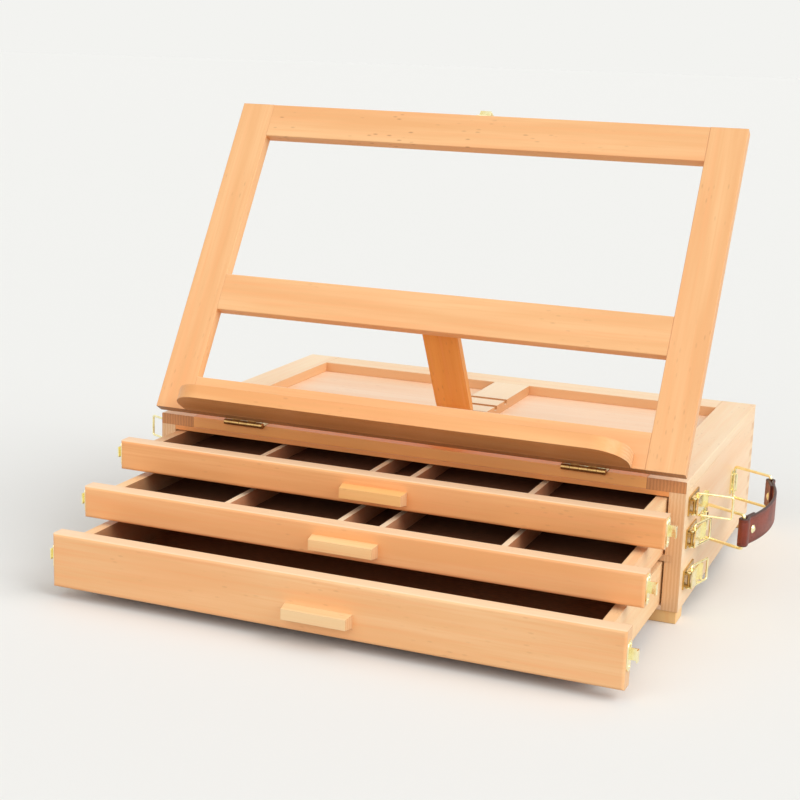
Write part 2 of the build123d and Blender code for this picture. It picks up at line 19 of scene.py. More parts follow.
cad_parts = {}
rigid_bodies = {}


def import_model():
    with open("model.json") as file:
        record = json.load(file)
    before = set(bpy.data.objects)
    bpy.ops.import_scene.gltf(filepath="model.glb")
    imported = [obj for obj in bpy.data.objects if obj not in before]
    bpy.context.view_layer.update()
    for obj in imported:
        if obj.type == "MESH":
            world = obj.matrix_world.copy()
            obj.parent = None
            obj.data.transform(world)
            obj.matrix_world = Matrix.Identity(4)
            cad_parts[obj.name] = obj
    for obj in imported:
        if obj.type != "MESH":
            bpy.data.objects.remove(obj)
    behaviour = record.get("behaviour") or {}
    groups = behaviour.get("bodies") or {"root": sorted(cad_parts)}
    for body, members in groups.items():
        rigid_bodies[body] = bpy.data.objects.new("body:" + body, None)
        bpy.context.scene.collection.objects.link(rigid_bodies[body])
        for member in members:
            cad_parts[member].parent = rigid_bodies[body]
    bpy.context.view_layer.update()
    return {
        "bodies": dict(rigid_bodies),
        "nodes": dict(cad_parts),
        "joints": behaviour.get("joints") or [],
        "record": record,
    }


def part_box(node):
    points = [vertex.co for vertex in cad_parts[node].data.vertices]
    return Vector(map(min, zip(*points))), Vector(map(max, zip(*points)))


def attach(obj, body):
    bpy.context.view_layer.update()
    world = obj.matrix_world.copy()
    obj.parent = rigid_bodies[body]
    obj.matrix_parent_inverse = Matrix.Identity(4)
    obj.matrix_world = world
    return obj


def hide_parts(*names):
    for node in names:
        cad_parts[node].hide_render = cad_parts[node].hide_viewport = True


LOG = logging.getLogger("desk_box_easel")

Srgb = tuple[int, int, int]
Rgba = tuple[float, float, float, float]
Span = tuple[float, float]
Triple = tuple[float, float, float]
Socket = bpy.types.NodeSocket

RIGHT = Vector((1.0, 0.0, 0.0))
BACK = Vector((0.0, 1.0, 0.0))
UP = Vector((0.0, 0.0, 1.0))
DOWN = Vector((0.0, 0.0, -1.0))
SIDES = (-1, 1)

# The outer face of the box's side, and how far the frame is raised, in degrees.
SIDE_X = 0.21
FRAME_ANGLE = 58.3


def linear(shade: Srgb) -> Rgba:
    """Turn a written colour into the linear one that the shaders take.

    Args:
        shade: Red, green and blue from 0 to 255.

    Returns:
        Linear red, green, blue and an alpha of 1.
    """
    knee, slope, offset, power = 0.04045, 12.92, 0.055, 2.4
    parts = (part / 255 for part in shade)
    red, green, blue = (
        part / slope if part <= knee else ((part + offset) / (1 + offset)) ** power
        for part in parts
    )
    return red, green, blue, 1.0


@dataclass
class Graph:
    """A node tree that is being put together."""

    tree: bpy.types.NodeTree

    def give(self, node: bpy.types.Node, inputs: dict) -> None:
        """Fill a node's inputs.

        Args:
            node: The node to fill.
            inputs: Socket name or number to a plain value, or to the socket that feeds it.
        """
        for key, value in inputs.items():
            socket = node.inputs[key]
            if isinstance(value, Socket):
                self.tree.links.new(value, socket)
            else:
                socket.default_value = value

    def add(
        self, kind: str, inputs: dict | None = None, **settings: str | bool | int
    ) -> bpy.types.Node:
        """Add a node.

        Args:
            kind: The node's type.
            inputs: What goes into its sockets, as in give().
            settings: The node's own properties.

        Returns:
            The new node.
        """
        node = self.tree.nodes.new(kind)
        for name, value in settings.items():
            setattr(node, name, value)
        self.give(node, inputs or {})
        return node

    def product(self, first: Socket, second: Socket | float) -> Socket:
        """Multiply two values."""
        return self.add("ShaderNodeMath", {0: first, 1: second}, operation="MULTIPLY").outputs[0]


@dataclass(frozen=True)
class Pattern:
    """Noise or cells on a coordinate, and how strongly they show.

    Attributes:
        scale: How fine the pattern is.
        span: The values between which its strength goes from least to most.
        stretch: Scale of the coordinate along each axis. A small one draws the pattern out.
        detail: How rough the noise is.
    """

    scale: float
    span: Span
    least: float = 0.0
    most: float = 1.0
    stretch: Triple = (1.0, 1.0, 1.0)
    detail: float = 3.0


@dataclass(frozen=True)
class Bump:
    """Relief: the share that shows, its depth, and the radius that sharp edges seem to have."""

    strength: float
    depth: float
    edge: float = 0.0


class Recipe(Graph):
    """A material that is being put together from shader nodes."""

    MIX_SHARE, MIX_FIRST, MIX_SECOND = 0, 6, 7
    MIX_RESULT = 2
    BEVEL_SAMPLES = 4

    def __init__(self, name: str) -> None:
        """Start a material with a Principled shader.

        Args:
            name: The material's name.
        """
        self.material = bpy.data.materials.new(name)
        self.material.use_nodes = True
        super().__init__(self.material.node_tree)
        self.shader = self.tree.nodes["Principled BSDF"]

    def place(self) -> Socket:
        """The place on the object."""
        return self.add("ShaderNodeTexCoord").outputs["Object"]

    def facing(self) -> Socket:
        """The way that the surface faces, on the object."""
        return self.add("ShaderNodeTexCoord").outputs["Normal"]

    def axes(self, vector: Socket) -> list[Socket]:
        """A vector's X, Y and Z."""
        return list(self.add("ShaderNodeSeparateXYZ", {0: vector}).outputs)

    def stretched(self, vector: Socket, pattern: Pattern) -> Socket:
        """A coordinate, scaled along each axis for a pattern."""
        inputs = {0: vector, 1: pattern.stretch}
        return self.add("ShaderNodeVectorMath", inputs, operation="MULTIPLY").outputs[0]

    def noise(self, vector: Socket, pattern: Pattern) -> Socket:
        """A pattern's cloudy noise, from 0 to 1."""
        where = self.stretched(vector, pattern)
        inputs = {"Vector": where, "Scale": pattern.scale, "Detail": pattern.detail}
        return self.add("ShaderNodeTexNoise", inputs).outputs[0]

    def cells(self, vector: Socket, pattern: Pattern) -> Socket:
        """The distance from the middle of a pattern's cells."""
        inputs = {"Vector": self.stretched(vector, pattern), "Scale": pattern.scale}
        return self.add("ShaderNodeTexVoronoi", inputs).outputs["Distance"]

    def ranged(self, value: Socket, source: Span, target: Span = (0.0, 1.0)) -> Socket:
        """Map a value from one range onto another, and hold it there."""
        names = ("From Min", "From Max", "To Min", "To Max")
        inputs = {"Value": value, **dict(zip(names, (*source, *target)))}
        return self.add("ShaderNodeMapRange", inputs).outputs[0]

    def shown(self, value: Socket, pattern: Pattern, factor: float = 1.0) -> Socket:
        """The strength of a pattern, from its noise or its cells."""
        return self.ranged(value, pattern.span, (pattern.least, pattern.most * factor))

    def mixed(self, share: Socket, first: Socket | Rgba, second: Socket | Rgba) -> Socket:
        """Go from one colour to another by a share from 0 to 1."""
        inputs = {self.MIX_SHARE: share, self.MIX_FIRST: first, self.MIX_SECOND: second}
        return self.add("ShaderNodeMix", inputs, data_type="RGBA").outputs[self.MIX_RESULT]

    def bumped(self, height: Socket, bump: Bump) -> None:
        """Raise the surface by a height pattern, and round its sharp edges.

        Args:
            height: The pattern, from 0 to 1.
            bump: How much of it shows.
        """
        inputs = {"Height": height, "Strength": bump.strength, "Distance": bump.depth}
        if bump.edge:
            rounded = self.add("ShaderNodeBevel", {"Radius": bump.edge}, samples=self.BEVEL_SAMPLES)
            inputs["Normal"] = rounded.outputs[0]
        self.give(self.shader, {"Normal": self.add("ShaderNodeBump", inputs).outputs[0]})


class Run(Enum):
    """Which way a board's grain runs: the turn, in degrees, that brings it onto X."""

    ACROSS = (0.0, 0.0, 0.0)
    DEEP = (0.0, 0.0, -90.0)
    UPRIGHT = (0.0, 90.0, 0.0)
    FRAME_RAIL = (-FRAME_ANGLE, 0.0, 0.0)
    FRAME_STILE = (-FRAME_ANGLE, 0.0, -90.0)
    STRUT = (59.66, 0.0, -90.0)


class Tone(Enum):
    """A board's light and dark wood colour."""

    FRAME = ((247, 194, 137), (238, 176, 116))
    LEDGE = ((249, 188, 124), (238, 168, 102))
    # Painted shade: the drawers' fronts and pulls go darker towards the upper drawer.
    UPPER_FRONT = ((252, 187, 124), (241, 169, 104))
    MIDDLE_FRONT = ((255, 197, 139), (247, 179, 116))
    LOWER_FRONT = ((255, 204, 149), (247, 186, 127))
    UPPER_PULL = ((254, 204, 132), (247, 186, 112))
    MIDDLE_PULL = ((255, 213, 154), (250, 197, 136))
    LOWER_PULL = ((255, 222, 172), (250, 208, 154))
    WALL = ((254, 220, 174), (247, 204, 152))
    PALE = ((255, 228, 190), (251, 216, 172))
    PANEL = ((255, 226, 196), (251, 214, 178))
    SIDE = ((255, 228, 191), (250, 213, 170))
    FOOT = ((255, 217, 152), (255, 199, 131))
    STRUT = ((242, 170, 83), (229, 149, 66))
    RAIL = ((255, 186, 111), (247, 168, 92))


class Faces(Enum):
    """Some of a board's faces, and the range of the value that tells them from the others."""

    TOP = (0.7, 0.84)
    UNDER = (-0.7, -0.84)
    FRONT = (-0.5, -0.9)
    UPRIGHT = (0.7, 0.2)
    INNER = (-0.05, -0.12)


@dataclass(frozen=True)
class Shading:
    """Painted light and shade: a share of another colour on some faces. The inner ones look inwards
    across the box.
    """

    faces: Faces
    shade: Srgb
    share: float

    def laid(self, recipe: Recipe, place: Socket, facing: Socket, colour: Socket) -> Socket:
        """Paint the light and shade onto the faces.

        Args:
            recipe: The material.
            place: The place on the object.
            facing: The way that the surface faces.
            colour: The wood's colour so far.

        Returns:
            The wood's colour with these faces.
        """
        x, y, z = recipe.axes(facing)
        if self.faces is Faces.FRONT:
            value = y
        elif self.faces is Faces.UPRIGHT:
            value = recipe.product(z, z)
        elif self.faces is Faces.INNER:
            value = recipe.product(x, recipe.axes(place)[0])
        else:
            value = z
        share = recipe.ranged(value, self.faces.value, (0.0, self.share))
        return recipe.mixed(share, colour, linear(self.shade))


# Painted shade, on undersides and on the drawers' inner faces.
PAINTED_SHADE_BROWN: Srgb = (134, 70, 34)
# Painted shade on the walls of the recess in the box's top.
RECESS_PAINTED_SHADE: Srgb = (226, 170, 116)

# Painted light on a paler top face, without or with painted shade on a browner underside.
PAINTED_LIT_TOP = Shading(Faces.TOP, (255, 233, 200), 0.6)
PAINTED_EDGE_LIGHT_AND_SHADE = (PAINTED_LIT_TOP, Shading(Faces.UNDER, PAINTED_SHADE_BROWN, 0.27))
PAINTED_EDGE_LIGHT_FAINT_SHADE = (PAINTED_LIT_TOP, Shading(Faces.UNDER, PAINTED_SHADE_BROWN, 0.15))
PAINTED_EDGE_LIGHT_DEEP_SHADE = (PAINTED_LIT_TOP, Shading(Faces.UNDER, PAINTED_SHADE_BROWN, 0.6))


@dataclass(frozen=True)
class Beech:
    """Oiled beech: soft figure, fine lines along the grain, short dark flecks, ringed end grain.

    Attributes:
        fleck: Strength of the flecks.
        shift: Offset of the patterns, so that no two boards are alike.
        streak: Strength of the streaks and clouds.
        shadings: The faces with painted light and shade.
        end_grain: Light and dark colour where the grain is cut across.
    """

    name: str
    run: Run
    tone: Tone
    fleck: float = 0.2
    shift: float = 0.0
    streak: float = 1.0
    shadings: tuple[Shading, ...] = ()
    end_grain: tuple[Srgb, Srgb] = ((240, 197, 150), (231, 182, 133))

    BLUSH = (250, 172, 112)
    FLECK_SHADE = (150, 84, 40)
    FIGURE = Pattern(70.0, (0.35, 0.68), stretch=(0.07, 1.0, 1.0))
    CLOUD = Pattern(16.0, (0.5, 0.72), most=0.25, stretch=(0.4, 1.0, 1.0), detail=1.0)
    LINES = Pattern(620.0, (0.5, 0.7), most=0.45, stretch=(0.025, 1.0, 1.0))
    BANDS = Pattern(240.0, (0.5, 0.68), most=0.25, stretch=(0.03, 1.0, 1.0), detail=2.0)
    FLECKS = Pattern(270.0, (0.22, 0.08), stretch=(0.3, 1.0, 1.0))
    PATCHES = Pattern(15.0, (0.49, 0.6), least=0.04)
    CUT_SPAN, CUT_MOST = (0.8, 0.95), 0.9
    RINGS = {"Scale": 130.0, "Distortion": 1.8, "Detail": 2.0, "Detail Scale": 2.0}
    RING_SPAN = (0.2, 0.9)
    WORN_SPAN, ROUGHNESS = (0.3, 0.7), (0.38, 0.5)
    BUMP = Bump(0.25, 0.0002, edge=0.0006)

    def material(self) -> bpy.types.Material:
        """Build the finish.

        Returns:
            The wood material, on Object coordinates.
        """
        recipe = Recipe(f"beech_{self.name}")
        place, facing = recipe.place(), recipe.facing()
        turn = tuple(math.radians(angle) for angle in self.run.value)
        inputs = {"Vector": place, "Rotation": turn, "Location": (self.shift,) * 3}
        board = recipe.add("ShaderNodeMapping", inputs).outputs[0]
        light, dark = (linear(shade) for shade in self.tone.value)
        blush = linear(self.BLUSH)
        figure = recipe.shown(recipe.noise(board, self.FIGURE), self.FIGURE)
        colour = recipe.mixed(figure, dark, light)
        lines = recipe.noise(board, self.LINES)
        layers = (
            (recipe.noise(board, self.CLOUD), self.CLOUD, blush),
            (lines, self.LINES, dark),
            (recipe.noise(board, self.BANDS), self.BANDS, blush),
        )
        for noise, pattern, shade in layers:
            colour = recipe.mixed(recipe.shown(noise, pattern, self.streak), colour, shade)
        colour = recipe.mixed(self.flecks(recipe, board), colour, linear(self.FLECK_SHADE))
        ends = self.cut_across(recipe, facing, turn)
        colour = recipe.mixed(ends, colour, self.rings(recipe, board))
        for shading in self.shadings:
            colour = shading.laid(recipe, place, facing, colour)
        roughness = recipe.ranged(lines, self.WORN_SPAN, self.ROUGHNESS)
        recipe.give(recipe.shader, {"Base Color": colour, "Roughness": roughness})
        recipe.bumped(lines, self.BUMP)
        return recipe.material

    def flecks(self, recipe: Recipe, board: Socket) -> Socket:
        """Short dashes along the grain, gathered in patches.

        Args:
            recipe: The material.
            board: Coordinate with the grain along X.

        Returns:
            Where a fleck is, from 0 to its strength.
        """
        dash = recipe.shown(recipe.cells(board, self.FLECKS), self.FLECKS)
        patch = recipe.shown(recipe.noise(board, self.PATCHES), self.PATCHES)
        return recipe.product(recipe.product(dash, patch), self.fleck)

    def cut_across(self, recipe: Recipe, facing: Socket, turn: tuple[float, ...]) -> Socket:
        """Where a face cuts across the grain.

        Args:
            recipe: The material.
            facing: The way that the surface faces.
            turn: The turn that brings the grain onto X.

        Returns:
            Nearly 1 on end grain, and 0 elsewhere.
        """
        inputs = {"Vector": facing, "Rotation": turn}
        normal = recipe.add("ShaderNodeMapping", inputs, vector_type="VECTOR").outputs[0]
        along = {0: recipe.axes(normal)[0]}
        size = recipe.add("ShaderNodeMath", along, operation="ABSOLUTE").outputs[0]
        return recipe.ranged(size, self.CUT_SPAN, (0.0, self.CUT_MOST))

    def rings(self, recipe: Recipe, board: Socket) -> Socket:
        """The growth rings that show on end grain.

        Args:
            recipe: The material.
            board: Coordinate with the grain along X.

        Returns:
            The end grain's colour.
        """
        inputs = {"Vector": board, **self.RINGS}
        wave = recipe.add("ShaderNodeTexWave", inputs, bands_direction="Y").outputs["Fac"]
        light, dark = (linear(shade) for shade in self.end_grain)
        return recipe.mixed(recipe.ranged(wave, self.RING_SPAN), dark, light)


@dataclass(frozen=True)
class Lining:
    """Brown board in the bottoms of the drawers, with a faint fibre."""

    name: str
    light: Srgb
    dark: Srgb

    FIBRE = Pattern(900.0, (0.35, 0.7), stretch=(0.2, 1.0, 1.0))
    CLOUD = Pattern(14.0, (0.2, 0.8))
    WORN_SPAN, ROUGHNESS = (0.3, 0.7), (0.72, 0.85)
    BUMP = Bump(0.2, 0.0001)

    def material(self) -> bpy.types.Material:
        """Build the finish.

        Returns:
            The lining material.
        """
        recipe = Recipe(self.name)
        place = recipe.place()
        fibre, cloud = recipe.noise(place, self.FIBRE), recipe.noise(place, self.CLOUD)
        share = recipe.product(recipe.shown(fibre, self.FIBRE), recipe.shown(cloud, self.CLOUD))
        colour = recipe.mixed(share, linear(self.dark), linear(self.light))
        roughness = recipe.ranged(cloud, self.WORN_SPAN, self.ROUGHNESS)
        recipe.give(recipe.shader, {"Base Color": colour, "Roughness": roughness})
        recipe.bumped(fibre, self.BUMP)
        return recipe.material


@dataclass(frozen=True)
class Metal:
    """Polished plate with faint clouding and rubbing marks."""

    name: str
    bright: Srgb
    dull: Srgb
    gloss: Span = (0.16, 0.3)

    CLOUD = Pattern(160.0, (0.45, 0.75))
    RUB = Pattern(2600.0, (0.35, 0.7), stretch=(1.0, 0.15, 1.0), detail=2.0)
    BUMP = Bump(0.08, 0.00005, edge=0.0002)

    def material(self) -> bpy.types.Material:
        """Build the finish.

        Returns:
            The metal material.
        """
        recipe = Recipe(self.name)
        place = recipe.place()
        cloud = recipe.shown(recipe.noise(place, self.CLOUD), self.CLOUD)
        colour = recipe.mixed(cloud, linear(self.bright), linear(self.dull))
        rub = recipe.noise(place, self.RUB)
        roughness = recipe.ranged(rub, self.RUB.span, self.gloss)
        inputs = {"Base Color": colour, "Roughness": roughness, "Metallic": 1.0}
        recipe.give(recipe.shader, inputs)
        recipe.bumped(rub, self.BUMP)
        return recipe.material


class Metals:
    """The fittings' materials."""

    def __init__(self) -> None:
        """Make each of them once."""
        # The latch plates' darker brass is painted shade round their levers.
        plate = Metal("plate_brass_painted_shade", (214, 178, 104), (168, 128, 64), gloss=(0.22, 0.36))
        # The hinges' duller, darker brass is painted shade.
        hinge = Metal("hinge_brass_painted_shade", (202, 166, 106), (156, 116, 66), gloss=(0.3, 0.45))
        self.brass = Metal("brass", (255, 247, 200), (245, 228, 162)).material()
        self.plate = plate.material()
        self.hinge = hinge.material()
        self.steel = Metal("pin_steel", (196, 196, 192), (150, 150, 148)).material()


@dataclass(frozen=True)
class Leather:
    """Smooth red-brown strap leather: pebbled grain, waxed face and dark burnished edges."""

    light: Srgb = (146, 56, 27)
    dark: Srgb = (108, 38, 17)
    edge: Srgb = (60, 24, 16)
    wax: float = 0.08

    PEBBLES = Pattern(1300.0, (0.3, 0.75), most=0.45)
    CLOUD = Pattern(90.0, (0.35, 0.7))
    WORN_SPAN, ROUGHNESS = (0.2, 0.8), (0.42, 0.58)
    BUMP = Bump(0.3, 0.00015)

    def material(self) -> bpy.types.Material:
        """Build the finish.

        Returns:
            The leather material, which reads the strap's edge_tone attribute.
        """
        recipe = Recipe("strap_leather")
        place = recipe.place()
        pebbles = recipe.cells(place, self.PEBBLES)
        cloud = recipe.shown(recipe.noise(place, self.CLOUD), self.CLOUD)
        colour = recipe.mixed(cloud, linear(self.dark), linear(self.light))
        creases = recipe.shown(pebbles, self.PEBBLES)
        colour = recipe.mixed(creases, colour, linear(self.dark))
        rim = recipe.add("ShaderNodeAttribute", attribute_name="edge_tone").outputs["Fac"]
        colour = recipe.mixed(rim, colour, linear(self.edge))
        roughness = recipe.ranged(pebbles, self.WORN_SPAN, self.ROUGHNESS)
        inputs = {"Base Color": colour, "Roughness": roughness, "Coat Weight": self.wax}
        recipe.give(recipe.shader, inputs)
        recipe.bumped(pebbles, self.BUMP)
        return recipe.material


@dataclass(frozen=True)
class FrameTilt:
    """How far the easel frame is raised about its hinges, from lying flat on the box."""

    angle: float = FRAME_ANGLE
    hinge_y: float = -0.14145
    hinge_z: float = 0.1055

    def matrix(self) -> Matrix:
        """The move from the folded frame to the raised one."""
        axis = Vector((0.0, self.hinge_y, self.hinge_z))
        turn = Matrix.Rotation(math.radians(self.angle), 4, "X")
        return Matrix.Translation(axis) @ turn @ Matrix.Translation(-axis)


class Screw(Enum):
    """A kind of screw: its head's radius, and how far the head stands proud."""

    HINGE = (0.0023, 0.0002)
    LEDGE = (0.0017, 0.00015)
    PLATE = (0.0009, 0.0002)
    TONGUE = (0.0013, 0.0003)
    STRIKE = (0.0016, 0.0004)
    LATCH = (0.0019, 0.0003)
    BRACKET = (0.0012, 0.0003)


@dataclass(frozen=True)
class Head:
    """Where one screw's head sits, and the way it faces."""

    place: Vector
    facing: Vector

    def moved(self, matrix: Matrix) -> Head:
        """The same head after a move of what carries it."""
        return Head(matrix @ self.place, matrix.to_3x3() @ self.facing)


@dataclass(frozen=True)
class LeafPair:
    """The screws of a left and a right hinge leaf, on one line across the box."""

    middle: float
    steps: tuple[float, ...]

    def spots(self) -> list[float]:
        """The screws' places along X."""
        return [side * self.middle + step for side in SIDES for step in self.steps]


FRAME_LEAVES = LeafPair(0.136, (-0.011, 0.0, 0.011))
FRAME_LEAF_Y = -0.1318
LEDGE_LEAVES = LeafPair(0.12, (-0.008, 0.008))


class ScrewTree(Graph):
    """Geometry Nodes tree that sets a countersunk cross-head screw on every point of a mesh."""

    HEAD_SIDES = 20
    CROWN_SHARE = 0.72
    CROSS_SHARE = 1.25
    SLOT_SHARE = 0.3
    CROSS_STEP = 0.7

    def __init__(self, finish: bpy.types.Material) -> None:
        """Build the tree.

        Args:
            finish: The screws' material.
        """
        super().__init__(bpy.data.node_groups.new("countersunk_screws", "GeometryNodeTree"))
        sockets = self.tree.interface
        size = {"in_out": "INPUT", "socket_type": "NodeSocketFloat"}
        sockets.new_socket("Points", in_out="INPUT", socket_type="NodeSocketGeometry")
        self.radius = sockets.new_socket("Head radius", **size)
        self.rise = sockets.new_socket("Head rise", **size)
        sockets.new_socket("Screws", in_out="OUTPUT", socket_type="NodeSocketGeometry")
        source = self.add("NodeGroupInput").outputs
        head = self.cross_cut(source["Head radius"], source["Head rise"])
        spread = self.add(
            "GeometryNodeInstanceOnPoints",
            {"Points": source["Points"], "Instance": head, "Rotation": self.turn()},
        )
        solid = self.add("GeometryNodeRealizeInstances", {0: spread.outputs[0]})
        dressed = self.add("GeometryNodeSetMaterial", {0: solid.outputs[0], "Material": finish})
        self.add("NodeGroupOutput", {0: dressed.outputs[0]})

    def cross_cut(self, radius: Socket, rise: Socket) -> Socket:
        """One low head with a cross recess.

        Args:
            radius: The head's radius.
            rise: How far it stands proud.

        Returns:
            The head's geometry, facing +Z from the origin.
        """
        dome = self.add(
            "GeometryNodeMeshCone",
            {
                "Vertices": self.HEAD_SIDES,
                "Radius Top": self.product(radius, self.CROWN_SHARE),
                "Radius Bottom": radius,
                "Depth": rise,
            },
        ).outputs[0]
        cross = self.add("GeometryNodeMeshBoolean", {"Mesh 1": dome}, operation="DIFFERENCE")
        long = self.product(radius, self.CROSS_SHARE)
        slot = self.product(radius, self.SLOT_SHARE)
        top = self.add("ShaderNodeCombineXYZ", {2: rise}).outputs[0]
        for first, second in ((long, slot), (slot, long)):
            size = self.add("ShaderNodeCombineXYZ", {0: first, 1: second, 2: rise}).outputs[0]
            bar = self.add("GeometryNodeMeshCube", {"Size": size}).outputs[0]
            raised = self.add("GeometryNodeTransform", {0: bar, "Translation": top})
            self.give(cross, {"Mesh 2": raised.outputs[0]})
        return cross.outputs[0]

    def attribute(self, name: str, kind: str) -> Socket:
        """A named value of each point."""
        return self.add(
            "GeometryNodeInputNamedAttribute", {"Name": name}, data_type=kind
        ).outputs[0]

    def turn(self) -> Socket:
        """Turn each head to face its own way, with its cross at its own angle."""
        facing = self.attribute("facing", "FLOAT_VECTOR")
        angle = self.attribute("cross_angle", "FLOAT")
        aimed = self.add("FunctionNodeAlignRotationToVector", {"Vector": facing}, axis="Z")
        spin = self.add("FunctionNodeAxisAngleToRotation", {"Axis": UP, "Angle": angle})
        return self.add(
            "FunctionNodeRotateRotation",
            {"Rotation": aimed.outputs[0], "Rotate By": spin.outputs[0]},
            rotation_space="LOCAL",
        ).outputs[0]

    def screws(self, name: str, body: str, heads: list[Head], kind: Screw) -> None:
        """Set screws of one kind on one body, as one plain mesh.

        Args:
            name: The piece's name.
            body: The body that carries the screws.
            heads: Where the heads sit.
            kind: Their size.
        """
        points = bpy.data.meshes.new(f"{name}_points")
        points.from_pydata([head.place for head in heads], [], [])
        points.attributes.new("facing", "FLOAT_VECTOR", "POINT")
        points.attributes.new("cross_angle", "FLOAT", "POINT")
        for index, head in enumerate(heads):
            points.attributes["facing"].data[index].vector = head.facing
            points.attributes["cross_angle"].data[index].value = self.CROSS_STEP * index
        piece = bpy.data.objects.new(name, points)
        bpy.context.scene.collection.objects.link(piece)
        maker = piece.modifiers.new("screws", "NODES")
        maker.node_group = self.tree
        maker[self.radius.identifier], maker[self.rise.identifier] = kind.value
        bpy.context.view_layer.update()
        shaped = piece.evaluated_get(bpy.context.evaluated_depsgraph_get())
        made = bpy.data.meshes.new_from_object(shaped)
        piece.modifiers.remove(maker)
        piece.data = made
        bpy.data.meshes.remove(points)
        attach(piece, body)
        LOG.info("%s: %d screws on %s", name, len(heads), body)


class Workshop:
    """The CAD nodes, and what they are finished with."""

    def __init__(self, nodes: dict[str, bpy.types.Object]) -> None:
        """Make the metals and the screws' node tree once.

        Args:
            nodes: The CAD nodes by name.
        """
        self.nodes = nodes
        self.metals = Metals()
        self.tree = ScrewTree(self.metals.brass)

    def dress(self, finish: bpy.types.Material, *names: str) -> None:
        """Give CAD nodes their material.

        Args:
            finish: The material.
            names: The nodes.
        """
        for name in names:
            slots = self.nodes[name].data.materials
            slots.clear()
            slots.append(finish)

    def panel(self, boards: Iterable[Beech]) -> None:
        """Give boards their wood, each its own.

        Args:
            boards: The boards.
        """
        for board in boards:
            self.dress(board.material(), board.name)


@dataclass
class Carcass:
    """The fixed box: its boards, its hinge leaves and the catch plate."""

    boards: tuple[Beech, ...] = (
        Beech("side_panel_right", Run.DEEP, Tone.SIDE, fleck=0.18, shift=0.31, streak=0.6),
        Beech("side_panel_left", Run.DEEP, Tone.SIDE, fleck=0.18, shift=1.17, streak=0.6),
        Beech("back_panel", Run.ACROSS, Tone.SIDE, fleck=0.18, shift=2.05),
        Beech("bottom_panel", Run.ACROSS, Tone.PANEL, fleck=0.1, shift=3.4),
        # Painted shade on the top panel's front edge.
        Beech(
            "top_panel",
            Run.ACROSS,
            Tone.PANEL,
            fleck=0.15,
            shift=4.1,
            streak=0.3,
            shadings=(Shading(Faces.FRONT, (240, 160, 92), 1.0),),
        ),
        Beech("top_front_rail", Run.ACROSS, Tone.RAIL, fleck=0.18, shift=5.2),
        # Painted shade on the front face, inside the recess.
        Beech(
            "top_rear_rail",
            Run.ACROSS,
            Tone.PALE,
            shift=6.3,
            streak=0.5,
            shadings=(Shading(Faces.FRONT, RECESS_PAINTED_SHADE, 0.8),),
        ),
        # Painted shade on the inner faces, inside the recess.
        Beech(
            "top_side_rails",
            Run.DEEP,
            Tone.PALE,
            shift=7.4,
            streak=0.5,
            shadings=(Shading(Faces.INNER, RECESS_PAINTED_SHADE, 0.8),),
            # The darker end grain is painted shade on the rails' front ends; the rear ends have it
            # too.
            end_grain=((207, 136, 74), (188, 116, 58)),
        ),
        # Painted light on the top, and painted shade on the upright faces and notches inside the
        # recess.
        Beech(
            "center_stile",
            Run.DEEP,
            Tone.PALE,
            shift=8.5,
            streak=0.5,
            shadings=(PAINTED_LIT_TOP, Shading(Faces.UPRIGHT, (205, 145, 92), 0.85)),
        ),
        Beech("drawer_runners", Run.DEEP, Tone.PALE, shift=9.6),
        Beech("feet", Run.UPRIGHT, Tone.FOOT, fleck=0.18, shift=10.7),
    )
    leaf_top: float = 0.1053
    plate_screw: float = 0.005

    def finish(self, shop: Workshop) -> None:
        """Dress the box and add its screws.

        Args:
            shop: The CAD nodes and their finishes.
        """
        shop.panel(self.boards)
        shop.dress(shop.metals.hinge, "box_hinge_leaves")
        shop.dress(shop.metals.brass, "catch_plate")
        heads = [Head(Vector((x, FRAME_LEAF_Y, self.leaf_top)), UP) for x in FRAME_LEAVES.spots()]
        shop.tree.screws("box_hinge_screws", "box", heads, Screw.HINGE)
        low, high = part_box("catch_plate")
        middle = (low + high) / 2
        corners = [
            Head(Vector((middle.x + x, high.y, middle.z + z)), BACK)
            for x in (-self.plate_screw, self.plate_screw)
            for z in (-self.plate_screw, self.plate_screw)
        ]
        shop.tree.screws("catch_plate_screws", "box", corners, Screw.PLATE)


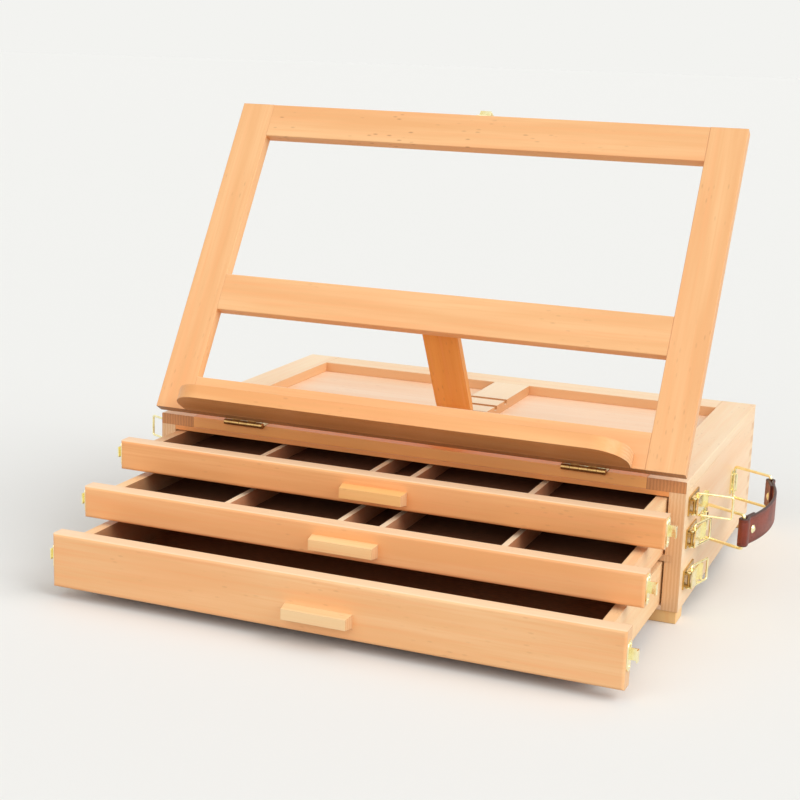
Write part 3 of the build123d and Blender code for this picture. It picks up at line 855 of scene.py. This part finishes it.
@dataclass
class Drawers:
    """The three drawers: boards, brown bottoms, pulls and the strikes on their ends.

    The upper ones, as many as divided says, have dividers and a darker lining, as painted shade.
    A shift is the offset of a board's patterns from one drawer to the next.
    """

    # Tones that go darker towards the upper drawer, as painted shade.
    fronts: tuple[Tone, ...] = (Tone.UPPER_FRONT, Tone.MIDDLE_FRONT, Tone.LOWER_FRONT)
    pulls: tuple[Tone, ...] = (Tone.UPPER_PULL, Tone.MIDDLE_PULL, Tone.LOWER_PULL)
    divided: int = 2
    # Painted shade: the upper drawers' bottoms are darker than the lower one's.
    painted_shade_lining: Lining = Lining("upper_lining_painted_shade", (150, 94, 58), (112, 70, 42))
    lining: Lining = Lining("lower_lining", (214, 139, 88), (172, 107, 66))
    front_shift: float = 11.3
    pull_shift: float = 13.7
    wall_shift: float = 17.9
    divider_shift: float = 19.1
    strike_screw: float = 0.0075
    strike_sheet: float = 0.0009

    def finish(self, shop: Workshop) -> None:
        """Dress the drawers and screw on their strikes.

        Args:
            shop: The CAD nodes and their finishes.
        """
        # The upper drawers get the darker lining, which is painted shade.
        dark, light = self.painted_shade_lining.material(), self.lining.material()
        for number in range(1, len(self.fronts) + 1):
            name = f"drawer_{number}"
            shop.panel(self.boards(name, number))
            shop.dress(dark if number <= self.divided else light, f"{name}_bottom")
            shop.dress(shop.metals.brass, f"{name}_strikes")
            heads = self.strike_heads(name)
            shop.tree.screws(f"{name}_strike_screws", name, heads, Screw.STRIKE)

    def boards(self, name: str, number: int) -> list[Beech]:
        """A drawer's boards.

        Args:
            name: The drawer.
            number: Its number, from the upper one down.

        Returns:
            Front, pull and walls, and the dividers where there are any.
        """
        front, pull = self.fronts[number - 1], self.pulls[number - 1]
        boards = [
            Beech(
                f"{name}_front",
                Run.ACROSS,
                front,
                fleck=0.15,
                shift=self.front_shift * number,
                streak=1.6,
                # Painted light on the top face and painted shade on the underside.
                shadings=PAINTED_EDGE_LIGHT_AND_SHADE,
            ),
            Beech(f"{name}_pull", Run.ACROSS, pull, shift=self.pull_shift * number),
            Beech(
                f"{name}_walls",
                Run.DEEP,
                Tone.WALL,
                shift=self.wall_shift * number,
                # Painted shade on the inner faces.
                shadings=(Shading(Faces.INNER, PAINTED_SHADE_BROWN, 0.65),),
            ),
        ]
        dividers = Beech(
            f"{name}_dividers",
            Run.DEEP,
            Tone.WALL,
            fleck=0.15,
            shift=self.divider_shift * number,
            # Painted light on the top edges, and painted shade on the sides.
            shadings=(
                replace(PAINTED_LIT_TOP, share=0.9),
                Shading(Faces.UPRIGHT, (186, 100, 66), 0.6),
            ),
        )
        return boards + [dividers] if number <= self.divided else boards

    def strike_heads(self, name: str) -> list[Head]:
        """The two screws of each strike of a drawer.

        Args:
            name: The drawer.

        Returns:
            The four heads.
        """
        low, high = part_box(f"{name}_strikes")
        middle = (low + high) / 2
        face = SIDE_X + self.strike_sheet
        return [
            Head(Vector((side * face, middle.y, middle.z + step)), Vector((side, 0.0, 0.0)))
            for side in SIDES
            for step in (-self.strike_screw, self.strike_screw)
        ]


@dataclass
class Easel:
    """The raised frame with its ledge, strut, hinge leaves and catch tongue.

    A line of screws is given by its Y and Z on the folded frame.
    """

    tilt: FrameTilt = FrameTilt()
    boards: tuple[Beech, ...] = (
        # Painted light on the top faces and painted shade on the undersides.
        Beech("frame_left_stile", Run.FRAME_STILE, Tone.FRAME, shift=21.3, shadings=PAINTED_EDGE_LIGHT_DEEP_SHADE),
        Beech("frame_right_stile", Run.FRAME_STILE, Tone.FRAME, shift=22.6, shadings=PAINTED_EDGE_LIGHT_DEEP_SHADE),
        Beech(
            "frame_top_rail",
            Run.FRAME_RAIL,
            Tone.FRAME,
            fleck=0.5,
            shift=23.3,
            shadings=PAINTED_EDGE_LIGHT_FAINT_SHADE,
        ),
        Beech("frame_mid_rail", Run.FRAME_RAIL, Tone.FRAME, shift=24.2, shadings=PAINTED_EDGE_LIGHT_FAINT_SHADE),
        Beech("frame_bottom_rail", Run.FRAME_RAIL, Tone.FRAME, shift=25.5, shadings=PAINTED_EDGE_LIGHT_DEEP_SHADE),
        Beech("ledge", Run.FRAME_RAIL, Tone.LEDGE, shift=26.8, shadings=PAINTED_EDGE_LIGHT_AND_SHADE),
        Beech("strut", Run.STRUT, Tone.STRUT, fleck=0.25, shift=27.1),
    )
    leaf_under: float = 0.1057
    fixed_line: Span = (-0.1227, 0.116)
    moving_line: Span = (-0.1275, 0.1217)
    tongue_line: Span = (0.1333, 0.1112)
    tongue_spots: tuple[float, ...] = (-0.0023, 0.0023)

    def finish(self, shop: Workshop) -> None:
        """Dress the frame and what rides on it, and add the screws.

        Args:
            shop: The CAD nodes and their finishes.
        """
        metals, screws = shop.metals, shop.tree.screws
        shop.panel(self.boards)
        shop.dress(metals.hinge, "frame_hinge_leaves", "ledge_fixed_leaves", "ledge_moving_leaves")
        shop.dress(metals.brass, "catch_tongue")
        shop.dress(metals.steel, "strut_pin")
        frame, ledge = FRAME_LEAVES.spots(), LEDGE_LEAVES.spots()
        leaves = self.raised(frame, (FRAME_LEAF_Y, self.leaf_under), DOWN)
        screws("frame_hinge_screws", "frame", leaves, Screw.HINGE)
        fixed = self.raised(ledge, self.fixed_line, UP)
        screws("ledge_fixed_screws", "frame", fixed, Screw.LEDGE)
        moving = self.raised(ledge, self.moving_line, BACK)
        screws("ledge_moving_screws", "ledge", moving, Screw.LEDGE)
        tongue = self.raised(self.tongue_spots, self.tongue_line, BACK)
        screws("catch_tongue_screws", "frame", tongue, Screw.TONGUE)

    def raised(self, spots: Iterable[float], line: Span, facing: Vector) -> list[Head]:
        """Heads on a line across the folded frame, moved with the frame to where it stands.

        Args:
            spots: Places along X.
            line: The line's Y and Z on the folded frame.
            facing: The way the heads face on the folded frame.

        Returns:
            The heads on the raised frame.
        """
        matrix = self.tilt.matrix()
        return [Head(Vector((x, *line)), facing).moved(matrix) for x in spots]


@dataclass
class Latches:
    """The six draw latches: base plates, levers and wire loops, in rows of one on each side."""

    rows: int = 3
    plate_sheet: float = 0.0012
    screw_steps: tuple[float, ...] = (0.0155, 0.0285)

    def finish(self, shop: Workshop) -> None:
        """Dress the latches and screw down their plates.

        Args:
            shop: The CAD nodes and their finishes.
        """
        shop.dress(shop.metals.plate, "latch_bases")
        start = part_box("latch_bases")[0].y
        heads = []
        for row in range(1, self.rows + 1):
            for side, word in ((1, "right"), (-1, "left")):
                latch = (f"latch_lever_{word}_{row}", f"latch_loop_{word}_{row}")
                shop.dress(shop.metals.brass, *latch)
                low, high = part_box(f"latch_lever_{word}_{row}")
                level = (low.z + high.z) / 2
                face = side * (SIDE_X + self.plate_sheet)
                heads += [
                    Head(Vector((face, start + step, level)), Vector((side, 0.0, 0.0)))
                    for step in self.screw_steps
                ]
        shop.tree.screws("latch_screws", "box", heads, Screw.LATCH)


@dataclass(frozen=True)
class Strap:
    """The handle's leather strap, bowed between two wires and folded round them.

    Attributes:
        bow: How far the strap's middle stands out.
        wire_gap: From a wire's axis to the leather.
        flap: Length of the layer folded back behind a wire.
        flap_bend: Share of a flap after which it bends towards its wire.
        rise_length: Length over which the outer layer rises to pass over a wire.
        corner_cut: Share of the rounding by which a corner's own point stands back.
        crease: Depth of the crease along each edge.
        crease_place: From an edge to its crease.
    """

    height: float = 0.06
    bar_x: float = 0.243503
    front_y: float = -0.089432
    span: float = 0.118
    bow: float = 0.011
    width: float = 0.021
    thickness: float = 0.0022
    wire_gap: float = 0.0015
    flap: float = 0.02
    flap_bend: float = 0.6
    rise_length: float = 0.0085
    edge_round: float = 0.0007
    corner_cut: float = 0.3
    crease: float = 0.00025
    crease_place: float = 0.0024
    bow_steps: int = 90
    wrap_steps: int = 18
    flap_steps: int = 18

    FACE_TONE, CREASE_TONE, SHOULDER_TONE, RIM_TONE = 0.0, 0.4, 0.55, 1.0

    @property
    def radius(self) -> float:
        """Radius of the bow."""
        return ((self.span / 2) ** 2 + self.bow**2) / (2 * self.bow)

    @property
    def centre(self) -> Vector:
        """Centre of the bow."""
        x = self.bar_x + self.bow - self.radius
        return Vector((x, self.front_y + self.span / 2, self.height))

    @property
    def reach(self) -> float:
        """Angle from the bow's middle to a wire."""
        return math.asin(self.span / 2 / self.radius)

    @property
    def wrap(self) -> float:
        """From a wire's axis to the middle of the leather round it."""
        return self.wire_gap + self.thickness / 2

    def on_bow(self, angle: float, offset: float) -> Vector:
        """A point at an angle along the bow, lifted outwards by an offset."""
        out = Vector((math.cos(angle), math.sin(angle), 0.0))
        return self.centre + out * (self.radius + offset)

    def lift(self, angle: float) -> float:
        """How far the outer layer leaves the bow to pass over a wire."""
        share = max(0.0, 1 - (self.reach - abs(angle)) * self.radius / self.rise_length)
        return self.wrap * share * share * (3 - 2 * share)

    def inner_layer(self, side: int) -> list[Vector]:
        """A flap, from its cut end to the front wire (-1) or the rear one (1)."""
        points = []
        for step in range(self.flap_steps):
            share = step / self.flap_steps
            angle = side * (self.reach - self.flap * (1 - share) / self.radius)
            near = max(0.0, (share - self.flap_bend) / (1 - self.flap_bend))
            drop = self.thickness + (self.wrap - self.thickness) * near * near
            points.append(self.on_bow(angle, -drop))
        return points

    def fold(self, side: int) -> list[Vector]:
        """Round the front wire (-1) or the rear one (1), from the inner layer to the outer one."""
        wire = self.on_bow(side * self.reach, 0.0)
        out = (wire - self.centre).normalized()
        along = Vector((-out.y, out.x, 0.0)) * side
        points = []
        for step in range(self.wrap_steps + 1):
            angle = math.pi * step / self.wrap_steps
            points.append(wire + self.wrap * (along * math.sin(angle) - out * math.cos(angle)))
        return points

    def route(self) -> list[Vector]:
        """The strap's middle line, from one flap round both wires to the other flap.

        Returns:
            Points in the plane of the bow.
        """
        outer = []
        for step in range(1, self.bow_steps):
            angle = self.reach * (2 * step / self.bow_steps - 1)
            outer.append(self.on_bow(angle, self.lift(angle)))
        front, rear = (self.inner_layer(side) + self.fold(side) for side in SIDES)
        return front + outer + rear[::-1]

    def section(self) -> list[Triple]:
        """The strap's cross-section, with rounded edges and a pressed crease near each.

        Returns:
            Offset across the thickness, offset across the width and edge tone, once round.
        """
        half, thick = self.width / 2, self.thickness / 2
        cut = self.edge_round * self.corner_cut
        crease, gap = half - self.crease_place, 2 * self.crease
        right = [
            (thick, crease - gap, self.FACE_TONE),
            (thick - self.crease, crease, self.CREASE_TONE),
            (thick, crease + gap, self.FACE_TONE),
            (thick, half - self.edge_round, self.SHOULDER_TONE),
            (thick - cut, half - cut, self.RIM_TONE),
        ]
        left = [(across, -wide, tone) for across, wide, tone in reversed(right)]
        face = left + [(thick, 0.0, self.FACE_TONE)] + right
        under = [(-across, -wide, tone) for across, wide, tone in face]
        return face + [(0.0, half, self.RIM_TONE)] + under + [(0.0, -half, self.RIM_TONE)]

    def build(self) -> bpy.types.Object:
        """Sweep the cross-section along the route.

        Returns:
            The strap as one closed mesh.
        """
        route, section = self.route(), self.section()
        count = len(section)
        mesh = bmesh.new()
        tone = mesh.verts.layers.float.new("edge_tone")
        rings = []
        for index, point in enumerate(route):
            before, after = route[max(index - 1, 0)], route[min(index + 1, len(route) - 1)]
            out = (after - before).normalized().cross(UP)
            ring = []
            for across, wide, shade in section:
                vertex = mesh.verts.new(point + out * across + UP * wide)
                vertex[tone] = shade
                ring.append(vertex)
            rings.append(ring)
        for ring, following in zip(rings, rings[1:]):
            for index in range(count):
                other = (index + 1) % count
                mesh.faces.new((ring[index], ring[other], following[other], following[index]))
        mesh.faces.new(rings[0])
        mesh.faces.new(rings[-1][::-1])
        bmesh.ops.recalc_face_normals(mesh, faces=mesh.faces)
        for part in mesh.faces:
            part.smooth = len(part.verts) < count
        data = bpy.data.meshes.new("leather_strap")
        mesh.to_mesh(data)
        mesh.free()
        piece = bpy.data.objects.new("leather_strap", data)
        bpy.context.scene.collection.objects.link(piece)
        return piece


@dataclass
class Handle:
    """The carrying handle: brackets, wire loops and the leather strap."""

    leather: Strap = Strap()
    bracket_screw_y: float = 0.0036
    bracket_screw_z: float = 0.0065
    bracket_half: float = 0.005
    bracket_sheet: float = 0.0012

    def finish(self, shop: Workshop) -> None:
        """Dress the handle, lay its strap and screw down its brackets.

        Args:
            shop: The CAD nodes and their finishes.
        """
        loops = ("handle_front_loop", "handle_rear_loop")
        shop.dress(shop.metals.brass, "handle_brackets", *loops, "handle_rivets")
        strap = self.leather.build()
        strap.data.materials.append(Leather().material())
        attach(strap, "handle_grip")
        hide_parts("handle_strap")
        LOG.info("leather_strap: %d faces", len(strap.data.polygons))
        low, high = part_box("handle_brackets")
        face = SIDE_X + self.bracket_sheet
        heads = [
            Head(Vector((face, y + step, self.leather.height + rise)), RIGHT)
            for y in (low.y + self.bracket_half, high.y - self.bracket_half)
            for step in (-self.bracket_screw_y, self.bracket_screw_y)
            for rise in (-self.bracket_screw_z, self.bracket_screw_z)
        ]
        shop.tree.screws("bracket_screws", "box", heads, Screw.BRACKET)


@dataclass(frozen=True)
class Lamp:
    """One far, wide and soft lamp, which lights the floor evenly. Its spread is in degrees."""

    name: str
    place: Triple
    power: float
    spread: float

    def hang(self) -> None:
        """Put the lamp in the scene, aimed at the object."""
        light = bpy.data.lights.new(self.name, "SUN")
        light.energy = self.power
        light.angle = math.radians(self.spread)
        lamp = bpy.data.objects.new(self.name, light)
        bpy.context.scene.collection.objects.link(lamp)
        lamp.location = self.place
        lamp.rotation_euler = Vector(self.place).to_track_quat("Z", "Y").to_euler()


@dataclass
class Studio:
    """Pale floor, soft light and the camera.

    The floor has one colour as it is seen and one as it lights the object, and so has the sky.
    Angles are in degrees, the lens and the sensor in millimetres.
    """

    floor_radius: float = 30.0
    floor_sides: int = 96
    floor_drop: float = 0.0002
    floor_shade: Srgb = (238, 238, 235)
    floor_roughness: float = 0.9
    bounce_shade: Srgb = (188, 184, 177)
    sky_light: Rgba = (1.0, 1.0, 1.0, 1.0)
    sky_power: float = 0.5
    sky_shade: Srgb = (243, 243, 240)
    lamps: tuple[Lamp, ...] = (
        Lamp("key_lamp", (2.0, -0.15, 1.6), power=1.9, spread=50.0),
        Lamp("fill_lamp", (-0.3, -1.9, 0.9), power=1.12, spread=70.0),
    )
    camera_place: Triple = (0.4131, -1.1935, 0.3967)
    camera_turn: float = 21.74
    camera_tilt: float = 12.8
    camera_roll: float = 1.95
    lens: float = 70.6
    sensor: float = 36.0

    def build(self) -> None:
        """Set up the floor, the light and the camera."""
        self.floor()
        self.sky()
        for lamp in self.lamps:
            lamp.hang()
        self.camera()
        bpy.context.scene.view_settings.view_transform = "Standard"

    def floor(self) -> None:
        """A wide pale floor just under the feet."""
        data = bpy.data.meshes.new("floor")
        mesh = bmesh.new()
        rim = {"segments": self.floor_sides, "radius": self.floor_radius}
        bmesh.ops.create_circle(mesh, cap_ends=True, **rim)
        bmesh.ops.translate(mesh, verts=mesh.verts, vec=(0.0, 0.0, -self.floor_drop))
        mesh.to_mesh(data)
        mesh.free()
        recipe = Recipe("pale_floor")
        seen = self.seen_directly(recipe)
        shade = recipe.mixed(seen, linear(self.bounce_shade), linear(self.floor_shade))
        recipe.give(recipe.shader, {"Base Color": shade, "Roughness": self.floor_roughness})
        data.materials.append(recipe.material)
        floor = bpy.data.objects.new("floor", data)
        bpy.context.scene.collection.objects.link(floor)

    def seen_directly(self, graph: Graph) -> Socket:
        """Tell the camera's own rays, and those by a reflection or through glass, from the light's.

        Args:
            graph: The node tree to work in.

        Returns:
            1 for a ray that shows the surface, and 0 for one that only gathers light from it.
        """
        path = graph.add("ShaderNodeLightPath").outputs
        seen = path["Is Camera Ray"]
        for ray in ("Is Glossy Ray", "Is Transmission Ray"):
            either = {0: seen, 1: path[ray]}
            seen = graph.add("ShaderNodeMath", either, operation="MAXIMUM").outputs[0]
        return seen

    def sky(self) -> None:
        """Even light from all round, seen as a pale backdrop by the camera and in reflections."""
        world = bpy.data.worlds.new("studio")
        bpy.context.scene.world = world
        world.use_nodes = True
        graph = Graph(world.node_tree)
        graph.tree.nodes.clear()
        light = {"Color": self.sky_light, "Strength": self.sky_power}
        backdrop = {"Color": linear(self.sky_shade)}
        gathered, shown = (
            graph.add("ShaderNodeBackground", inputs).outputs[0] for inputs in (light, backdrop)
        )
        either = {0: self.seen_directly(graph), 1: gathered, 2: shown}
        mix = graph.add("ShaderNodeMixShader", either)
        graph.add("ShaderNodeOutputWorld", {0: mix.outputs[0]})

    def camera(self) -> None:
        """The camera, turned and tilted as in the photograph."""
        data = bpy.data.cameras.new("camera")
        data.lens = self.lens
        data.sensor_width = self.sensor
        camera = bpy.data.objects.new("camera", data)
        bpy.context.scene.collection.objects.link(camera)
        camera.location = self.camera_place
        pitch, heading = math.radians(90 - self.camera_tilt), math.radians(self.camera_turn)
        look = Euler((pitch, 0.0, heading)).to_matrix()
        roll = Matrix.Rotation(math.radians(self.camera_roll), 3, "Z")
        camera.rotation_euler = (look @ roll).to_euler()
        bpy.context.scene.camera = camera


def main() -> None:
    """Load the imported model, dress every sub-assembly and set up the studio."""
    logging.basicConfig(level=logging.INFO, format="%(name)s: %(message)s")
    bpy.ops.wm.read_factory_settings(use_empty=True)
    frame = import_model()
    shop = Workshop(frame["nodes"])
    for part in (Carcass(), Drawers(), Easel(), Latches(), Handle()):
        part.finish(shop)
        LOG.info("%s dressed", type(part).__name__)
    Studio().build()


if __name__ == "__main__":
    main()
